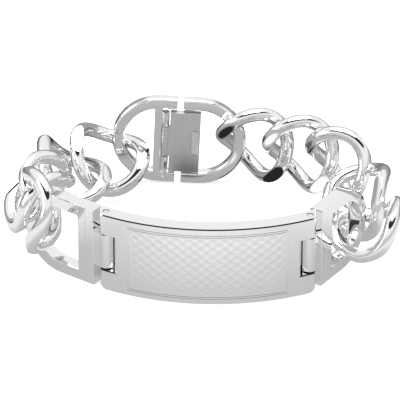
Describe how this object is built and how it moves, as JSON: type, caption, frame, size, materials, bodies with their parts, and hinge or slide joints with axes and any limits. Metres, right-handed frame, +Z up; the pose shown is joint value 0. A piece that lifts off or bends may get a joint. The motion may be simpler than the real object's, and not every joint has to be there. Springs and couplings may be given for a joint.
{
  "type": "curb chain bracelet",
  "caption": "Heavy curb chain identity bracelet of polished steel with a curved engraved plate, D-shaped end links and a fold-over clasp.",
  "frame": {"origin": "On the floor below the middle of the bracelet's box, as it lies on its side", "axes": "+X along the plate to the viewer's right, +Y from the plate towards the clasp, +Z up, across the band"},
  "size_m": [0.0753, 0.0513, 0.0216],
  "materials": {
    "polished_steel": "mirror polished",
    "brushed_steel": "fine vertical brushing"
  },
  "bodies": {
    "bracelet": {"id_plate": "polished_steel", "plate_pin_left": "polished_steel", "plate_pin_right": "polished_steel", "connector_left": "polished_steel", "connector_right": "polished_steel", "link_left_1": "polished_steel", "link_left_2": "polished_steel", "link_left_3": "polished_steel", "link_left_4": "polished_steel", "link_left_5": "polished_steel", "link_right_1": "polished_steel", "link_right_2": "polished_steel", "link_right_3": "polished_steel", "link_right_4": "polished_steel", "link_right_5": "polished_steel", "clasp_base": "polished_steel", "clasp_catch": "polished_steel", "clasp_pin": "polished_steel"},
    "lid": {"clasp_lid": "brushed_steel"}
  },
  "joints": [
    {"name": "lid_hinge", "type": "hinge", "parent": "bracelet", "child": "lid", "pos_m": [-0.00805, 0.01955, 0.0094], "axis": [-0.0436, 0, -0.999], "range_deg": [0, 100]}
  ]
}
